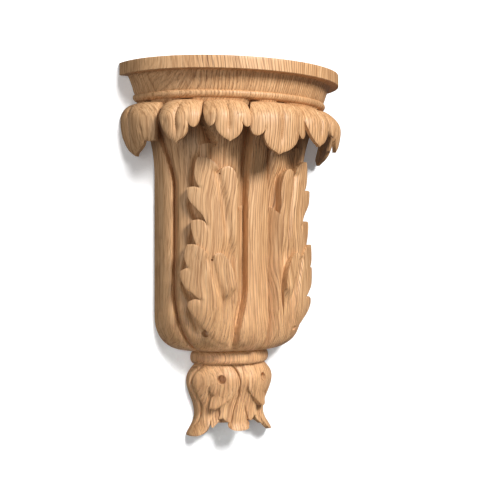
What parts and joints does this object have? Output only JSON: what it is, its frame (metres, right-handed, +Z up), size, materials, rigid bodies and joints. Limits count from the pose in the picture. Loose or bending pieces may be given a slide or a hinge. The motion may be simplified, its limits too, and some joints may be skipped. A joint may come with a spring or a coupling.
{
  "type": "wooden corbel bracket",
  "caption": "Carved oak corbel: a moulded half-round shelf on a lobed bell dressed with acanthus leaves, ending in a ring and leafy pendant.",
  "frame": {"origin": "on the flat wall face, midway across its width and halfway up the corbel's height", "axes": "+Y out of the flat back into the wall, the carved front faces -Y; +Z up, through the flat top; +X to the right seen from the front"},
  "size_m": [0.2, 0.0826, 0.303],
  "materials": {
    "oak": "matt"
  },
  "bodies": {
    "root": {"corbel": "oak"}
  },
  "joints": []
}
